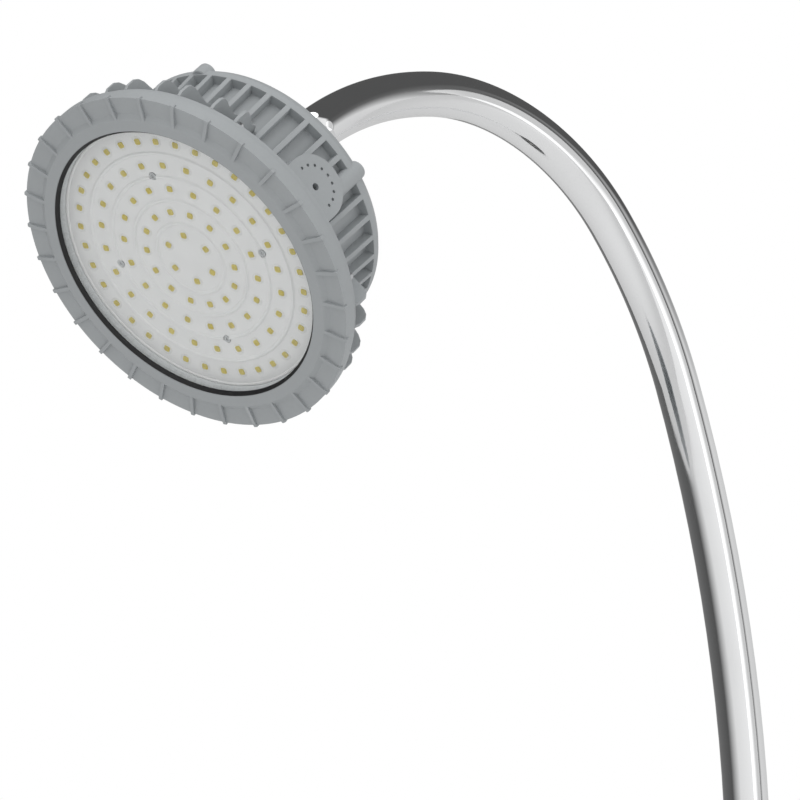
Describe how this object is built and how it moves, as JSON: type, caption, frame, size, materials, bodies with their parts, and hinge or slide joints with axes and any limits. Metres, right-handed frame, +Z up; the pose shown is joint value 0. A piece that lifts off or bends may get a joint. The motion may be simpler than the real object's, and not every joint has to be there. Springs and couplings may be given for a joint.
{
  "type": "examination lamp",
  "caption": "Floor-standing examination lamp: round finned LED flood head with a ribbed bezel on a polished arched tube over a weighted disc base.",
  "frame": {"origin": "centre of the base's underside, on the stem's swivel axis", "axes": "+Z up; the arch lies in the XZ plane and carries the head on the -X side, its lens facing -X and down; the cable entry is at +X"},
  "size_m": [0.9263, 0.398, 1.5915],
  "materials": {
    "grey_paint": "light grey satin paint on die-cast aluminium",
    "chrome": "polished",
    "steel": "plain zinc-bright",
    "black_rubber": "matt",
    "black_plastic": "fine grain",
    "nylon": "natural",
    "glass": "clear toughened",
    "white_plate": "white moulded lens plate with clear domes",
    "board": "white solder mask on aluminium",
    "cast_iron": "as cast"
  },
  "bodies": {
    "base": {"base_mat": "black_rubber", "base_weight": "cast_iron", "base_cover": "chrome", "stem_socket": "chrome", "socket_screw_1": "steel", "socket_screw_2": "steel", "socket_screw_3": "steel", "thrust_washer": "nylon", "swivel_bush": "nylon", "inlet_gland": "black_plastic", "gland_nut": "black_plastic"},
    "clamp_knob": {"clamp_knob": "black_plastic"},
    "arch": {"arched_tube": "chrome", "tilt_tongue": "chrome"},
    "head": {"bezel_ring": "grey_paint", "lens_gasket": "black_rubber", "front_glass": "glass", "spacer_ring": "grey_paint", "optic_plate": "white_plate", "led_board": "board", "board_screw_1": "steel", "board_screw_2": "steel", "board_screw_3": "steel", "board_screw_4": "steel", "heatsink_housing": "grey_paint", "bezel_screw_1": "steel", "bezel_screw_2": "steel", "bezel_screw_3": "steel", "bezel_screw_4": "steel", "bezel_screw_5": "steel", "bezel_screw_6": "steel", "led_driver": "black_plastic", "driver_screw_1": "steel", "driver_screw_2": "steel", "rear_gasket": "black_rubber", "rear_cover": "grey_paint", "cover_screw_1": "steel", "cover_screw_2": "steel", "cover_screw_3": "steel", "cover_screw_4": "steel", "switch_body": "black_plastic", "pivot_fork": "grey_paint", "fork_screw_1": "steel", "fork_screw_2": "steel", "fork_screw_3": "steel", "fork_screw_4": "steel", "friction_washer_near": "nylon", "friction_washer_far": "nylon", "pivot_bolt": "steel"},
    "tilt_knob": {"tilt_knob": "black_plastic"},
    "power_button": {"power_button": "black_plastic"}
  },
  "joints": [
    {"name": "stem_swivel", "type": "hinge", "parent": "base", "child": "arch", "pos_m": [0, 0, 0.0452], "axis": [0, 0, 1], "range_deg": [-175, 175]},
    {"name": "clamp_knob_turn", "type": "hinge", "parent": "base", "child": "clamp_knob", "pos_m": [0, 0, 0.1076], "axis": [1, 0, 0], "range_deg": [-180, 180]},
    {"name": "head_tilt", "type": "hinge", "parent": "arch", "child": "head", "pos_m": [-0.49232, 0, 1.47028], "axis": [0, 1, 0], "range_deg": [-41.8, 60]},
    {"name": "tilt_knob_turn", "type": "hinge", "parent": "head", "child": "tilt_knob", "pos_m": [-0.49232, 0, 1.47028], "axis": [0, 1, 0], "range_deg": [-180, 180]},
    {"name": "power_press", "type": "slide", "parent": "head", "child": "power_button", "axis": [-0.6665, 0, -0.7455], "range_m": [0, 0.0025], "stiffness_N_per_m": 400, "springref_m": -0.0015}
  ]
}
